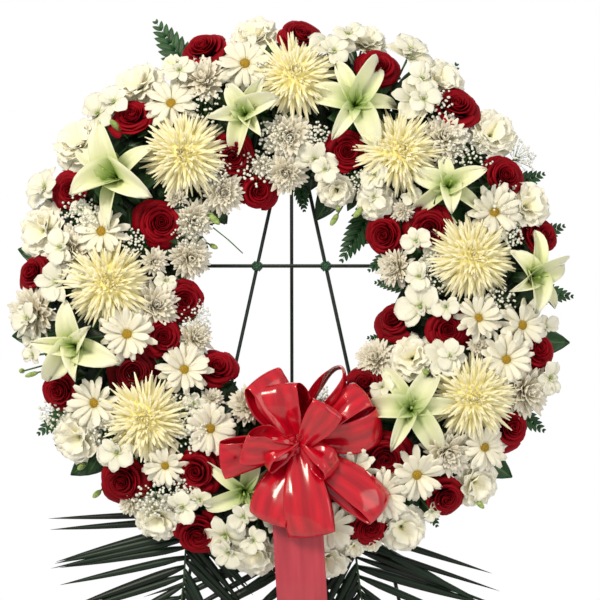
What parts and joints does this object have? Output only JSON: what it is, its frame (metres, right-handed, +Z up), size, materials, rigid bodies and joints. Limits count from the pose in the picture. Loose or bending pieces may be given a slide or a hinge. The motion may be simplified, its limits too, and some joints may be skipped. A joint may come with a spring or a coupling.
{
  "type": "funeral wreath on easel",
  "caption": "Round funeral wreath of roses and white flowers with a ribbon bow, on a folding wire easel that stands free.",
  "frame": {"origin": "on the floor, at the middle of the object's box", "axes": "+Z up, -Y out of the wreath's front towards the viewer, +X to that viewer's right"},
  "size_m": [0.8057, 0.6155, 1.4851],
  "materials": {
    "green_wire_paint": "gloss",
    "green_tray_plastic": "matte",
    "floral_foam": "matte",
    "leaf_green": "satin",
    "rose_red": "velvet",
    "petal_cream": "satin",
    "ribbon_satin": "gloss"
  },
  "bodies": {
    "stand_with_wreath": {"front_legs": "green_wire_paint", "crossbar": "green_wire_paint", "tie_left": "green_wire_paint", "tie_right": "green_wire_paint", "ring_tray": "green_tray_plastic", "foam_ring": "floral_foam", "leaf_collar_outer_1": "leaf_green", "leaf_collar_outer_2": "leaf_green", "leaf_collar_outer_3": "leaf_green", "leaf_collar_outer_4": "leaf_green", "leaf_collar_inner_1": "leaf_green", "leaf_collar_inner_2": "leaf_green", "leaf_collar_inner_3": "leaf_green", "leaf_collar_inner_4": "leaf_green", "palm_left": "leaf_green", "palm_centre": "leaf_green", "palm_right": "leaf_green", "ribbon_bow": "ribbon_satin", "ribbon_tail": "ribbon_satin", "white_flowers_1": "petal_cream", "white_flowers_2": "petal_cream", "white_flowers_3": "petal_cream", "white_flowers_4": "petal_cream", "white_flowers_5": "petal_cream", "white_flowers_6": "petal_cream", "white_flowers_7": "petal_cream", "white_flowers_8": "petal_cream", "rose_01": "rose_red", "rose_02": "rose_red", "rose_03": "rose_red", "rose_04": "rose_red", "rose_05": "rose_red", "rose_06": "rose_red", "rose_07": "rose_red", "rose_08": "rose_red", "rose_09": "rose_red", "rose_10": "rose_red", "rose_11": "rose_red", "rose_12": "rose_red", "rose_13": "rose_red", "rose_14": "rose_red", "rose_15": "rose_red", "rose_16": "rose_red", "rose_17": "rose_red", "rose_18": "rose_red", "rose_19": "rose_red", "rose_20": "rose_red", "rose_21": "rose_red", "rose_22": "rose_red", "rose_23": "rose_red", "rose_24": "rose_red", "rose_25": "rose_red", "rose_26": "rose_red", "rose_27": "rose_red", "rose_28": "rose_red", "rose_29": "rose_red", "rose_30": "rose_red", "rose_31": "rose_red"},
    "rear_leg": {"rear_leg": "green_wire_paint"}
  },
  "joints": [
    {"name": "rear_leg_hinge", "type": "hinge", "parent": "stand_with_wreath", "child": "rear_leg", "pos_m": [0, -0.0415, 1.2408], "axis": [1, 0, 0], "range_deg": [-24, 0]}
  ]
}
